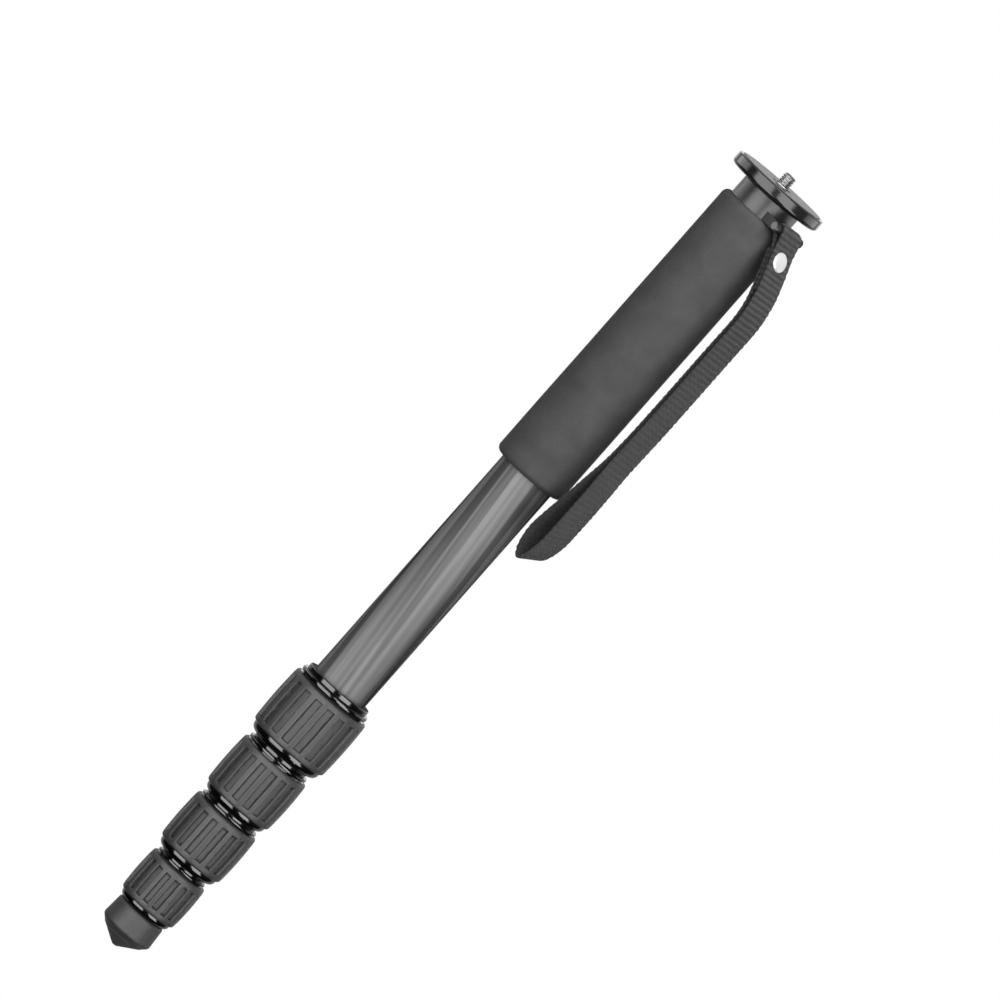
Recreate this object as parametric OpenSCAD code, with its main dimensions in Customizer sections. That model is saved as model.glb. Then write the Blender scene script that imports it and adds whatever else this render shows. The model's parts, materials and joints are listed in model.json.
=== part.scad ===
// Camera monopod with five carbon sections and four twist locks, shown collapsed, in millimetres.
// +Z runs up the pole to the camera stud, +X points to the strap lug, and the origin is the foot's tip.

/* [Tubes] */
// Outer diameter of the widest tube, which carries the grip
tube_d = 28; // [27:0.5:34]
// Wall of every tube
tube_wall = 1.0; // [0.8:0.1:1.4]
// Radial gap between one tube and the next smaller one
tube_gap = 0.6; // [0.5:0.05:1]
// Bare stretch of the widest tube, between its lock and the grip
bare_len = 126; // [60:1:200]
// How much lower the top end of each smaller tube lies
top_step = 8; // [2:1:20]

/* [Lock 1] */
// Length of its rubber grip
lock_1_grip_len = 29.7; // [24:0.1:40]
// Wall of its metal nut behind the rubber
lock_1_nut_wall = 2.15; // [1.2:0.05:4]
// Height of its two bead rings together
lock_1_rings_h = 4.8; // [2:0.1:6]
// Height of its polished lip
lock_1_lip_h = 4.0; // [3:0.1:6]

/* [Lock 2] */
// Length of its rubber grip
lock_2_grip_len = 26.2; // [24:0.1:40]
// Wall of its metal nut behind the rubber
lock_2_nut_wall = 1.5; // [1.2:0.05:4]
// Height of its two bead rings together
lock_2_rings_h = 3.2; // [2:0.1:6]
// Height of its polished lip
lock_2_lip_h = 3.4; // [3:0.1:6]

/* [Lock 3] */
// Length of its rubber grip
lock_3_grip_len = 25.5; // [23:0.1:40]
// Wall of its metal nut behind the rubber
lock_3_nut_wall = 2.3; // [1.2:0.05:4]
// Height of its two bead rings together
lock_3_rings_h = 2.4; // [1.6:0.1:6]
// Height of its polished lip
lock_3_lip_h = 3.6; // [3:0.1:6]

/* [Lock 4] */
// Length of its rubber grip
lock_4_grip_len = 22.4; // [21:0.1:40]
// Wall of its metal nut behind the rubber
lock_4_nut_wall = 1.7; // [1.2:0.05:4]
// Height of its two bead rings together
lock_4_rings_h = 2.2; // [1.6:0.1:6]
// Height of its polished lip
lock_4_lip_h = 3.0; // [2.8:0.1:6]

/* [All locks] */
// Wall of the threaded sleeve that is bonded round a tube's end
sleeve_wall = 2.0; // [1.5:0.1:3]
// Radial play of the nut's thread on the sleeve
thread_gap = 0.08; // [0.05:0.01:0.15]
// Rubber over the nut, measured at the middle of the grip
grip_wall = 2.2; // [1.6:0.1:4]
// How much slimmer the rubber grip is at its ends than at its middle, on the radius
grip_crown = 0.5; // [0.2:0.05:0.8]
// Radius of the rubber grip's end corners
grip_corner = 1.2; // [0.6:0.1:1.5]
// Number of sunk finger pockets round each grip
pocket_count = 18; // [12:1:24]
// Angle that one pocket takes
pocket_deg = 12.2; // [5:0.1:14]
// Depth of a pocket
pocket_depth = 0.7; // [0.3:0.05:0.9]
// Rubber left above and below a pocket
pocket_margin = 3.0; // [2:0.1:5]
// How far the larger bead ring stands out past the nut
bead_proud = 0.2; // [0:0.05:0.6]
// Radial step from the larger bead ring to the smaller one
ring_step = 1.6; // [0.8:0.1:2]
// How far the polished lip stands out past the nut
lip_proud = 0.4; // [0.1:0.05:1]
// Dark slot between the larger bead ring and the rubber
grip_slot = 0.7; // [0.6:0.1:1.2]
// Height of the split collet
collet_h = 9; // [6:0.5:10]
// Wall of the collet at its thick upper end
collet_top_wall = 2.3; // [1.8:0.1:2.5]
// Wall of the collet at its thin lower end
collet_low_wall = 1.1; // [0.8:0.1:1.4]
// Thickness of the dust seal's cord
seal_t = 1.6; // [1.2:0.1:1.8]
// Length of the two guide shims on a tube's upper end
shim_len = 24; // [16:1:34]

/* [Foot] */
// Height of the rubber foot
foot_h = 19.4; // [17:0.1:30]
// Largest diameter of the rubber foot
foot_d = 25.9; // [23:0.1:32]
// Diameter of the rubber foot at its top
foot_top_d = 23.8; // [22:0.1:26]
// Height of its widest edge, where it starts to taper to its tip
foot_edge_z = 9.4; // [8.6:0.1:10]
// Radius that rounds its widest edge
foot_round = 2; // [0.8:0.1:3]
// Height of the blunt cone
foot_cone_h = 6.0; // [5:0.1:7]

/* [Hand grip] */
// Length of the foam hand grip
grip_len = 154.1; // [120:0.1:220]
// Outer diameter of the foam hand grip
grip_d = 37; // [34:0.5:46]
// Radius of its end corners
grip_round = 3; // [1:0.1:4]

/* [Head] */
// Diameter of the metal neck
neck_d = 30.4; // [29:0.2:36]
// Height of the metal neck
neck_h = 9.9; // [7.5:0.1:14]
// Depth of the spigot that is glued into the widest tube
spigot_h = 26; // [20:1:40]
// Thickness of the friction washer under the platform
washer_t = 0.4; // [0.3:0.1:1]
// Diameter of the camera platform
platform_d = 48.4; // [46:0.2:60]
// Thickness of the camera platform
platform_h = 5.8; // [5:0.1:9]
// Radius of the platform's lower edge
platform_low_round = 2; // [0.6:0.1:2.4]
// Radius of the platform's upper edge
platform_top_round = 0.6; // [0.3:0.1:0.7]
// Diameter of the spindle that the platform turns on
spindle_d = 14; // [13:0.5:18]
// Diameter of the rubber pad
pad_d = 44.6; // [36:0.2:44.6]
// Thickness of the rubber pad
pad_t = 1.5; // [1.2:0.1:2.2]
// How deep the pad is let into the platform
pad_sink = 1.2; // [0.8:0.1:1.2]
// Diameter of the camera stud
stud_d = 6.35; // [6.35:3.175:9.525]
// Height of the camera stud above the platform's edge
stud_h = 6.3; // [4:0.1:7]
// Diameter of the stud's lower shank
shank_d = 8; // [7:0.5:9]

/* [Strap] */
// Width of the webbing
strap_w = 15; // [12:0.5:20]
// Thickness of the webbing
strap_t = 1.4; // [1:0.1:1.8]
// Diameter of the pin that the strap hangs from
lug_pin_d = 3.2; // [2.4:0.1:3.6]
// Distance from the neck to the middle of that pin
lug_reach = 5.8; // [5.6:0.1:7]
// Height of the strap lug
lug_h = 4.8; // [4.2:0.1:6.5]
// Thickness of each of the lug's two ears
ear_t = 1.8; // [1.2:0.1:3]
// Diameter of the rivet's cap
rivet_d = 9.2; // [6:0.1:9.6]
// How far the rivet's cap bulges
rivet_h = 1.9; // [0.8:0.1:2.5]
// How far the rivet sits off the webbing's middle
rivet_off = 1.5; // [0:0.1:2]

/* [Hidden] */
$fn = 96;

// Clearances
glue_gap = 0.05;        // bonded and pressed joints
slide_gap = 0.08;       // a tube running through a bush
lip_gap = 0.25;         // the nut's lip round the tube that slides in it
cone_gap = 0.25;        // the collet inside the nut's cone
end_gap = 0.6;          // above and below the collet
stack_gap = 0.1;        // between the folded sections
layer_gap = 0.15;       // between the webbing's layers
eye_gap = 0.3;          // the webbing's eye round the pin
seat_gap = 0.2;         // the rivet on the webbing
eps = 0.01;

// Per-lock sizes, lock 1 first
lock_grip_len = [lock_1_grip_len, lock_2_grip_len, lock_3_grip_len, lock_4_grip_len];
nut_wall = [lock_1_nut_wall, lock_2_nut_wall, lock_3_nut_wall, lock_4_nut_wall];
rings_h = [lock_1_rings_h, lock_2_rings_h, lock_3_rings_h, lock_4_rings_h];
lip_h = [lock_1_lip_h, lock_2_lip_h, lock_3_lip_h, lock_4_lip_h];

// Radii of tube n, counted from the widest
function tube_r(n) = tube_d / 2 - (n - 1) * (tube_wall + tube_gap);
function bore_r(n) = tube_r(n) - tube_wall;

// Heights of lock n, built up from the foot
function lock_z(n) = n == 4 ? foot_h + stack_gap : lock_top(n + 1) + stack_gap;
function grip_z(n) = lock_z(n) + lip_h[n - 1];
function nut_top(n) = grip_z(n) + lock_grip_len[n - 1];
function lock_top(n) = nut_top(n) + grip_slot + rings_h[n - 1];

// Radii of lock n
function thread_r(n) = tube_r(n) + sleeve_wall;
function nut_r(n) = thread_r(n) + thread_gap + nut_wall[n - 1];
function grip_r(n) = nut_r(n) + grip_wall;

// The seal's groove and the collet's seat, above the bottom of the lip
groove_z = 0.9;
groove_h = seal_t + 0.2;
seat_web = 1.0;
function seat_z(n) = lock_z(n) + groove_z + groove_h + seat_web;
function sleeve_z(n) = seat_z(n) + collet_h + 2 * end_gap;
flange_t = 1.6;

// The collet's outer cone at height h above its foot
function collet_r(n, h) =
    tube_r(n + 1) + collet_low_wall + (collet_top_wall - collet_low_wall) * h / collet_h;

// The head, from the top of the widest tube upward
tube_top = lock_top(1) + bare_len + grip_len;
grip_z0 = lock_top(1) + bare_len;
neck_top = tube_top + neck_h;
disc_z = neck_top + washer_t;
disc_top = disc_z + platform_h;
floor_z = disc_top - pad_sink;
spindle_r = spindle_d / 2;
spindle_z = tube_top - 6;
web_t = neck_h;
cavity_r = bore_r(1) - 2;
clip_t = 1.0;
clip_z = tube_top - clip_t - 0.2;
clip_depth = 0.7;
clip_r = cavity_r - 1;
shoulder_r = shank_d / 2 + 0.8;
shoulder_h = 1.0;
pad_hole_r = shoulder_r + 0.3;
pocket_turn = 2;

// Where each smaller tube ends inside the next larger one
inner_top = tube_top - spigot_h - 2;
function top_z(n) = inner_top - (n - 2) * top_step;
pip_r = 1.2;
pip_drop = 8;
shim_play = 0.08;
shim_split = 1.5;

// The strap's lug on the neck
neck_r = neck_d / 2;
bar_x = neck_r + lug_reach;
bar_z = tube_top + lug_h / 2;
lug_z = tube_top + 0.2;
ear_y = strap_w / 2 + 0.6;
lug_half_w = ear_y + ear_t;
lug_back = 1.8;
ear_round = lug_h / 2;
lug_face_x = neck_r + lug_back;
pin_head_r = lug_pin_d / 2 + 0.4;
pin_head_t = 1.5;
lug_screw_y = 4.6;
lug_screw_r = 1.15;
lug_screw_head_r = 1.9;
lug_screw_head_t = 0.8;
lug_screw_len = 6.2;

// The strap's lay, measured from the lug's pin: x outward, z upward, the number of layers each
// side of the middle, and how far the two strands stand apart besides
strap_lay = [[3.9, -8, 1, 0], [5.8, -12.1, 1, 0], [7.6, -15.8, 1, 0], [9.9, -20.8, 1, 0],
             [12.2, -26.2, 1, 0], [13.9, -31.4, 0.5, 0.5], [15.2, -37.4, 0.5, 0.4],
             [15.7, -44.5, 0.5, 0.3], [15.6, -60, 0.5, 0.3], [15.6, -85, 0.5, 0.3],
             [15.5, -102, 0.5, 0.3], [15.2, -114, 0.5, 0.3], [14.6, -126, 0.5, 0.6],
             [13.8, -138, 0.5, 1.8], [12.8, -150, 0.5, 3], [11.7, -160, 0.5, 4],
             [11, -168, 0.5, 4.5], [10.9, -174, 0.5, 3.6], [11.1, -178.6, 0.5, 1.9]];
strap_low = [11.4, -181.6];
tail_bend = [1.4, -4.8];
outer_bend = [3.8, -2.8];
tail_last = 4;
rivet_row = 1;
slant = 20;
slant_from = -140;
slant_to = -178;
lay_step = 2;
hole_r = 1.6;

// Points of a curve from angle a to angle b, as a part of an ellipse
function arc(x, y, rx, ry, a, b, n = 6) =
    [for (k = [0:n]) let (t = a + (b - a) * k / n) [x + rx * cos(t), y + ry * sin(t)]];

// Outline of a bead ring's nose with corners of radius c, from its lower edge to its upper edge
function bead(r, z, h, c) =
    concat(arc(r - c, z + c, c, c, -90, 0, 5), arc(r - c, z + h - c, c, c, 0, 90, 5));

// Radius of grip n's barrel at share s of its height, from -1 to 1
function barrel_r(n, s, sink = 0) = grip_r(n) - sink - grip_crown * s * s;

module tube(n) {
    low = n == 5 ? foot_edge_z : sleeve_z(n) + flange_t;
    high = n == 1 ? tube_top : top_z(n);
    color("#4a4b4d")
    difference() {
        translate([0, 0, low]) cylinder(r = tube_r(n), h = high - low);
        translate([0, 0, low - 1]) cylinder(r = bore_r(n), h = high - low + 2);
        if (n > 1)
            translate([-tube_d, 0, high - pip_drop]) rotate([0, 90, 0])
                cylinder(r = pip_r + glue_gap, h = 2 * tube_d, $fn = 32);
    }
}

// Two half shells that guide a tube in the next larger one, each with a pip in the tube's wall
module guide_shims(n) {
    inner = tube_r(n) + glue_gap / 2;
    outer = bore_r(n - 1) - shim_play;
    z0 = top_z(n) - shim_len;
    pip_z = top_z(n) - pip_drop;
    color("#2b2b2c")
    for (side = [0, 180]) rotate([0, 0, side]) {
        difference() {
            translate([0, 0, z0]) rotate([0, 0, -90]) rotate_extrude(angle = 180)
                translate([inner, 0]) square([outer - inner, shim_len]);
            for (edge = [-1, 1])
                translate([-1, edge * outer - shim_split, z0 - 1])
                    cube([1 + shim_split / 2, 2 * shim_split, shim_len + 2]);
        }
        intersection() {
            translate([inner - 0.7 * tube_wall, 0, pip_z]) rotate([0, 90, 0])
                cylinder(r = pip_r, h = tube_wall, $fn = 32);
            translate([0, 0, z0]) cylinder(r = (inner + outer) / 2, h = shim_len);
        }
    }
}

// Threaded sleeve bonded round the end of tube n, with two bead rings on top
module lock_sleeve(n) {
    z0 = sleeve_z(n);
    top = lock_top(n);
    h = rings_h[n - 1] / 2;
    inner = tube_r(n) + glue_gap;
    flange = tube_r(n + 1) + slide_gap;
    bead_r = nut_r(n) + bead_proud;
    color("#1c1c1e")
    rotate_extrude() polygon(concat(
        [[flange, z0], [thread_r(n) - 0.5, z0], [thread_r(n), z0 + 0.5], [thread_r(n), top - 2 * h]],
        bead(bead_r, top - 2 * h, h, 0.38 * h), bead(bead_r - ring_step, top - h, h, 0.16 * h),
        [[inner, top], [inner, z0 + flange_t - glue_gap], [flange, z0 + flange_t - glue_gap]]));
}

// Split plastic collet that grips the smaller tube inside lock n
module lock_collet(n) {
    z0 = seat_z(n) + end_gap;
    inner = tube_r(n + 1) + glue_gap;
    slot = 1.2;
    finger_slots = 5;
    color("#d9d6cc")
    difference() {
        rotate_extrude() polygon([[inner, z0], [collet_r(n, 0), z0],
            [collet_r(n, collet_h), z0 + collet_h], [inner, z0 + collet_h]]);
        translate([0, -slot / 2, z0 - 1]) cube([tube_d, slot, collet_h + 2]);
        for (k = [1:finger_slots]) rotate([0, 0, 360 * k / (finger_slots + 1)])
            translate([0, -slot / 2, z0 - 1]) cube([tube_d, slot, 0.7 * collet_h + 1]);
    }
}

// Metal nut of lock n: thread above, cone for the collet, groove for the seal, polished lip below
module lock_nut(n) {
    z0 = lock_z(n);
    lip = lip_h[n - 1];
    lip_r = nut_r(n) + lip_proud;
    drop = 0.85 * lip;
    rise = 0.8 * lip;
    inner = tube_r(n + 1) + lip_gap;
    groove_r = inner + seal_t;
    cone_top = sleeve_z(n) - end_gap;
    bore = thread_r(n) + thread_gap;
    color("#1c1c1e")
    rotate_extrude() polygon(concat(
        [[inner, z0]],
        arc(lip_r - drop, z0 + rise, drop, rise, -90, 0, 8),
        [[lip_r, z0 + lip], [nut_r(n), z0 + lip], [nut_r(n), nut_top(n)], [bore, nut_top(n)],
         [bore, cone_top], [collet_r(n, collet_h) + cone_gap, cone_top],
         [collet_r(n, 0) + cone_gap, seat_z(n)],
         [inner, seat_z(n)], [inner, z0 + groove_z + groove_h], [groove_r, z0 + groove_z + groove_h],
         [groove_r, z0 + groove_z], [inner, z0 + groove_z]]));
}

// Moulded rubber sleeve over nut n, with sunk finger pockets
module lock_grip(n) {
    z0 = grip_z(n);
    len = lock_grip_len[n - 1];
    c = grip_corner;
    end_r = barrel_r(n, 1);
    steps = 8;
    z_low = z0 + pocket_margin;
    z_high = z0 + len - pocket_margin;
    color("#4b4b4c")
    difference() {
        rotate_extrude() polygon(concat(
            [[nut_r(n) + glue_gap, z0]],
            arc(end_r - c, z0 + c, c, c, -90, 0, 4),
            [for (k = [1:steps - 1]) let (s = 2 * k / steps - 1)
                [barrel_r(n, s), z0 + len / 2 + s * (len / 2 - c)]],
            arc(end_r - c, z0 + len - c, c, c, 0, 90, 4),
            [[nut_r(n) + glue_gap, z0 + len]]));
        for (k = [0:pocket_count - 1])
            rotate([0, 0, pocket_turn + 360 * k / pocket_count - pocket_deg / 2])
                rotate_extrude(angle = pocket_deg) polygon(concat(
                    [[grip_r(n) + 1, z_high], [grip_r(n) + 1, z_low]],
                    [for (k = [0:steps / 2]) let (s = 4 * k / steps - 1)
                        [barrel_r(n, s * (z_high - z_low) / len, pocket_depth),
                         (z_low + z_high) / 2 + s * (z_high - z_low) / 2]]));
    }
}

// Rubber dust seal in nut n's groove
module dust_seal(n) {
    color("#3a3a3b")
    rotate_extrude() translate([tube_r(n + 1) + glue_gap + seal_t / 2, lock_z(n) + groove_z + groove_h / 2])
        circle(d = seal_t, $fn = 32);
}

// Metal plug in the end of the smallest tube, with a head that holds the rubber foot
module foot_plug() {
    head_t = 1.8;
    color("#8d8f92")
    rotate_extrude() polygon([
        [0, foot_edge_z - head_t], [tube_r(5) + 1.2, foot_edge_z - head_t],
        [tube_r(5) + 1.2, foot_edge_z - glue_gap], [bore_r(5) - glue_gap, foot_edge_z - glue_gap],
        [bore_r(5) - glue_gap, foot_edge_z + foot_h], [bore_r(5) - 1, foot_edge_z + foot_h + 1],
        [0, foot_edge_z + foot_h + 1]]);
}

// Moulded rubber foot: flared body that bends in at 45 degrees, a fine groove and a blunt cone
module rubber_foot() {
    tip_r = 1.6;
    tip_z = 0.35;
    head_t = 1.8;
    cone_r = foot_d / 2 - (foot_edge_z - foot_round * tan(22.5) - foot_cone_h);
    color("#464647")
    rotate_extrude() polygon(concat(
        [[0, 0], [tip_r * 0.6, 0.06], [tip_r, tip_z], [cone_r - 0.1, foot_cone_h - 0.2],
         [cone_r - 0.2, foot_cone_h + 0.1], [cone_r + 0.2, foot_cone_h + 0.2]],
        arc(foot_d / 2 - foot_round, foot_edge_z, foot_round, foot_round, -45, 0, 6),
        [[foot_top_d / 2 + 0.4, foot_h - 0.9], [foot_top_d / 2, foot_h - 0.3],
         [foot_top_d / 2 - 0.3, foot_h],
         [tube_r(5) + glue_gap, foot_h], [tube_r(5) + glue_gap, foot_edge_z],
         [tube_r(5) + 1.2 + glue_gap, foot_edge_z],
         [tube_r(5) + 1.2 + glue_gap, foot_edge_z - head_t - glue_gap],
         [0, foot_edge_z - head_t - glue_gap]]));
}

module foam_grip() {
    inner = tube_r(1) + glue_gap;
    r = grip_d / 2;
    c = min(grip_round, 0.8 * (r - inner));
    color("#505051")
    rotate_extrude() polygon(concat(
        [[inner, grip_z0]],
        arc(r - c, grip_z0 + c, c, c, -90, 0),
        arc(r - c, tube_top - c, c, c, 0, 90),
        [[inner, tube_top]]));
}

// Turned metal collar: spigot in the tube, neck above it, bore for the platform's spindle
module top_collar() {
    inner = spindle_r + glue_gap;
    color("#8a8c8f")
    difference() {
        rotate_extrude() polygon([
            [cavity_r, tube_top - spigot_h], [bore_r(1) - glue_gap, tube_top - spigot_h],
            [bore_r(1) - glue_gap, tube_top + glue_gap], [neck_r, tube_top + glue_gap],
            [neck_r, neck_top - 0.5], [neck_r - 0.5, neck_top], [inner, neck_top],
            [inner, neck_top - web_t], [cavity_r, neck_top - web_t]]);
        for (side = [-1, 1])
            translate([lug_face_x - lug_screw_len, side * lug_screw_y, bar_z]) rotate([0, 90, 0])
                cylinder(r = lug_screw_r + glue_gap, h = lug_screw_len, $fn = 24);
    }
}

// Cast bracket on the neck with two ears for the strap's pin
module strap_lug() {
    color("#2a2a2c")
    difference() {
        union() {
            translate([0, -lug_half_w, lug_z]) cube([lug_face_x, 2 * lug_half_w, lug_h - 0.4]);
            for (side = [-1, 1]) translate([0, side * (ear_y + ear_t / 2), 0]) {
                translate([0, -ear_t / 2, lug_z]) cube([bar_x, ear_t, lug_h - 0.4]);
                translate([bar_x, ear_t / 2, bar_z]) rotate([90, 0, 0])
                    cylinder(r = ear_round - 0.2, h = ear_t);
            }
        }
        translate([0, 0, lug_z - 1]) cylinder(r = neck_r + glue_gap, h = lug_h + 2);
        translate([bar_x, lug_half_w + 1, bar_z]) rotate([90, 0, 0])
            cylinder(d = lug_pin_d + 2 * glue_gap, h = 2 * lug_half_w + 2, $fn = 48);
        for (side = [-1, 1]) translate([lug_face_x, side * lug_screw_y, bar_z]) rotate([0, -90, 0]) {
            cylinder(r = lug_screw_r + glue_gap, h = neck_r, $fn = 24);
            translate([0, 0, -eps]) cylinder(r1 = lug_screw_head_r + glue_gap + eps,
                r2 = lug_screw_r + glue_gap, h = lug_screw_head_t + eps, $fn = 24);
        }
    }
}

module lug_pin() {
    color("#b9bbbe")
    translate([bar_x, 0, bar_z]) rotate([90, 0, 0]) {
        translate([0, 0, -lug_half_w - 0.2]) cylinder(d = lug_pin_d, h = 2 * lug_half_w + 0.2, $fn = 48);
        translate([0, 0, lug_half_w]) cylinder(r1 = pin_head_r, r2 = pin_head_r - 0.3, h = pin_head_t);
        translate([0, 0, -lug_half_w - 0.6]) cylinder(r1 = lug_pin_d / 2, r2 = lug_pin_d / 2 + 0.3, h = 0.6);
    }
}

module lug_screws() {
    color("#77797c")
    for (side = [-1, 1]) translate([lug_face_x, side * lug_screw_y, bar_z]) rotate([0, -90, 0])
        difference() {
            union() {
                cylinder(r = lug_screw_r, h = lug_screw_len - 0.3, $fn = 24);
                cylinder(r1 = lug_screw_head_r, r2 = lug_screw_r, h = lug_screw_head_t, $fn = 24);
            }
            translate([0, 0, -1]) cylinder(r = 0.8, h = 1.9, $fn = 6);
        }
}

// Round platform that turns in the collar on its own spindle
module platform_disc() {
    r = platform_d / 2;
    low = platform_low_round;
    high = platform_top_round;
    inner = shank_d / 2 + glue_gap;
    color("#6f7174")
    difference() {
        rotate_extrude() polygon(concat(
            [[inner, spindle_z], [spindle_r - 0.4, spindle_z], [spindle_r, spindle_z + 0.4],
             [spindle_r, clip_z - 0.05], [spindle_r - clip_depth, clip_z - 0.05],
             [spindle_r - clip_depth, clip_z + clip_t + 0.05], [spindle_r, clip_z + clip_t + 0.05],
             [spindle_r, disc_z]],
            arc(r - low, disc_z + low, low, low, -90, 0, 8),
            arc(r - high, disc_top - high, high, high, 0, 90, 4),
            [[pad_d / 2 + 0.1, disc_top], [pad_d / 2 + 0.1, floor_z], [inner, floor_z]]));
        translate([0, 0, spindle_z + 2.4]) rotate([0, 90, 0])
            cylinder(r = 1.5, h = spindle_r + 1, $fn = 24);
    }
}

module platform_pad() {
    color("#333334")
    translate([0, 0, floor_z]) difference() {
        cylinder(d = pad_d, h = pad_t);
        translate([0, 0, -1]) cylinder(r = pad_hole_r, h = pad_t + 2);
    }
}

// Camera screw: wide shank in the spindle, shoulder on the platform, slim stud above it
module camera_stud() {
    top = disc_top + stud_h;
    color("#c9cacc")
    rotate_extrude() polygon([
        [0, spindle_z + 1], [shank_d / 2 - 0.5, spindle_z + 1], [shank_d / 2, spindle_z + 1.5],
        [shank_d / 2, floor_z], [shoulder_r, floor_z], [shoulder_r, floor_z + shoulder_h - 0.2],
        [shoulder_r - 0.2, floor_z + shoulder_h], [stud_d / 2, floor_z + shoulder_h],
        [stud_d / 2, top - 0.8], [stud_d / 2 - 0.3, top - 0.3], [stud_d / 2 - 0.9, top], [0, top]]);
}

module stud_grub_screw() {
    color("#3c3c3e")
    translate([shank_d / 2 + glue_gap, 0, spindle_z + 2.4]) rotate([0, 90, 0]) difference() {
        cylinder(r = 1.45, h = spindle_r - shank_d / 2 - 0.2, $fn = 24);
        translate([0, 0, 1.2]) cylinder(r = 0.85, h = spindle_r, $fn = 6);
    }
}

module platform_washer() {
    color("#1f1f20")
    translate([0, 0, neck_top]) difference() {
        cylinder(r = neck_r - 2, h = washer_t - glue_gap);
        translate([0, 0, -1]) cylinder(r = spindle_r + glue_gap, h = washer_t + 2);
    }
}

// Open spring ring in the spindle's groove, under the collar's web
module retaining_ring() {
    color("#77797c")
    translate([0, 0, clip_z]) difference() {
        cylinder(r = clip_r, h = clip_t);
        translate([0, 0, -1]) cylinder(r = spindle_r - clip_depth + glue_gap, h = clip_t + 2);
        translate([-clip_r - 1, -spindle_r / 2, -1]) cube([clip_r + 1, spindle_r, clip_t + 2]);
    }
}

// Unit vector from one point to another, and that vector turned a quarter turn outward
function unit(a, b) = (b - a) / norm(b - a);
function out_of(d) = [-d[1], d[0]];

// Direction of the strap's lay at row k, and one strand's point there
last_row = len(strap_lay) - 1;
function lay_point(k) = [strap_lay[k][0], strap_lay[k][1]];
function lay_dir(k) = unit(lay_point(max(k - 1, 0)), lay_point(min(k + 1, last_row)));
function strand(k, side) =
    lay_point(k) + side * out_of(lay_dir(k)) * (strap_lay[k][2] * (strap_t + layer_gap) + strap_lay[k][3]);

// The webbing's whole run: its tucked tail, the eye round the pin, down the outer strand, round
// the loop's bottom and up the inner strand
eye_r = lug_pin_d / 2 + eye_gap + strap_t / 2;
strap_run = concat(
    [for (k = [tail_last:-1:0]) lay_point(k)], [tail_bend],
    arc(0, 0, eye_r, eye_r, 215, 15, 9), [outer_bend],
    [for (k = [0:last_row]) strand(k, 1)], [strap_low],
    [for (k = [last_row:-1:0]) strand(k, -1)]);
run_end = len(strap_run) - 1;

// A point at share t of the span after run point k, on a smooth curve through all of them
function run_at(k) = strap_run[min(max(k, 0), run_end)];
function smooth(k, t) =
    let (a = run_at(k - 1), b = run_at(k), c = run_at(k + 1), d = run_at(k + 2))
    0.5 * (2 * b + (c - a) * t + (2 * a - 5 * b + 4 * c - d) * t * t + (3 * b - a - 3 * c + d) * t * t * t);
strap_line = concat(
    [for (k = [0:run_end - 1]) for (j = [0:lay_step - 1]) smooth(k, j / lay_step)], [run_at(run_end)]);
line_end = len(strap_line) - 1;

// How far the webbing is skewed at height z, because the loop's fold isn't quite square
function skew(z) = slant * min(max((slant_from - z) / (slant_from - slant_to), 0), 1);
function strap_ring(k) =
    let (p = strap_line[k], n = out_of(unit(strap_line[max(k - 1, 0)], strap_line[min(k + 1, line_end)])))
    let (lift = tan(skew(p[1])))
    [for (c = [[-1, -1], [1, -1], [1, 1], [-1, 1]])
        [bar_x + p[0] + c[1] * n[0] * strap_t / 2, c[0] * strap_w / 2,
         bar_z + p[1] + c[1] * n[1] * strap_t / 2 + c[0] * lift * strap_w / 2]];

// Where the rivet goes through, square to the layers
module at_rivet() {
    d = lay_dir(rivet_row);
    p = lay_point(rivet_row);
    translate([bar_x + p[0], -rivet_off, bar_z + p[1]])
        rotate([0, 90 - atan2(out_of(d)[1], out_of(d)[0]), 0]) children();
}
stack_half = 1.5 * strap_t + layer_gap + seat_gap;

module wrist_strap() {
    rings = [for (k = [0:line_end]) strap_ring(k)];
    points = [for (ring = rings) each ring];
    sides = [for (k = [0:line_end - 1]) for (j = [0:3]) let (a = 4 * k + j, b = 4 * k + (j + 1) % 4)
        each [[a, b, b + 4], [a, b + 4, a + 4]]];
    last = 4 * line_end;
    caps = [[2, 1, 0], [3, 2, 0], [last, last + 1, last + 2], [last, last + 2, last + 3]];
    color("#484849")
    difference() {
        polyhedron(points = points, faces = concat(sides, caps), convexity = 10);
        at_rivet() translate([0, 0, -3 * strap_t]) cylinder(r = hole_r, h = 6 * strap_t, $fn = 24);
    }
}

module rivet_cap() {
    r = rivet_d / 2;
    color("#e8e8e6")
    at_rivet() rotate_extrude() polygon(concat(
        [[0, -stack_half], [hole_r - 0.1, -stack_half], [hole_r - 0.1, stack_half], [r - 0.3, stack_half]],
        arc(0, stack_half + 0.4, r, rivet_h - 0.4, 0, 90, 6)));
}

module rivet_back() {
    r = 0.42 * rivet_d;
    color("#b9bbbe")
    at_rivet() mirror([0, 0, 1]) translate([0, 0, stack_half + glue_gap])
        cylinder(r1 = r, r2 = r - 0.5, h = 0.9, $fn = 48);
}

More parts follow.
